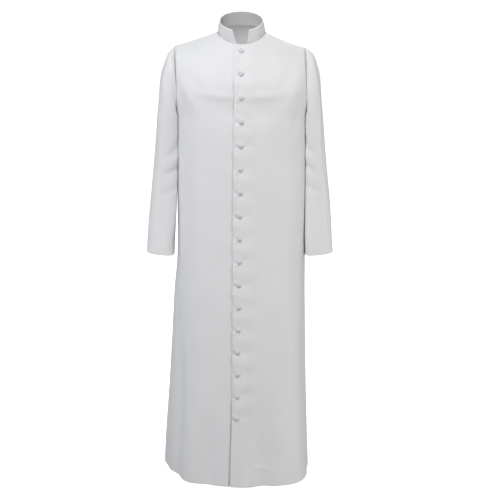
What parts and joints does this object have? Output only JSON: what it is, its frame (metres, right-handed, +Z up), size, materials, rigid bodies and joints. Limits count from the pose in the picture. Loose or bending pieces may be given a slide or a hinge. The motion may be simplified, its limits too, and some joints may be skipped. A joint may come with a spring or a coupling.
{
  "type": "liturgical robe",
  "caption": "Long-sleeved liturgical robe with a standing open-fronted collar, a full-length buttoned front and a skirt that widens to the hem, filled out with no wearer.",
  "frame": {"origin": "middle of the neck opening, level with its sides, where the garment hangs from its wearer", "axes": "+Z up, the front faces -Y, the wearer's left is towards +X"},
  "size_m": [0.5984, 0.4029, 1.5052],
  "materials": {
    "cotton": "matt woven white cloth with a soft sheen",
    "collar": "matt woven white cloth, stiffened",
    "button": "white cloth drawn over a domed button"
  },
  "bodies": {
    "root": {"front_left": "cotton", "front_right": "cotton", "back": "cotton", "sleeve_left": "cotton", "sleeve_right": "cotton", "collar": "collar", "button_01": "button", "button_02": "button", "button_03": "button", "button_04": "button", "button_05": "button", "button_06": "button", "button_07": "button", "button_08": "button", "button_09": "button", "button_10": "button", "button_11": "button", "button_12": "button", "button_13": "button", "button_14": "button", "button_15": "button", "button_16": "button", "button_17": "button"}
  },
  "joints": []
}
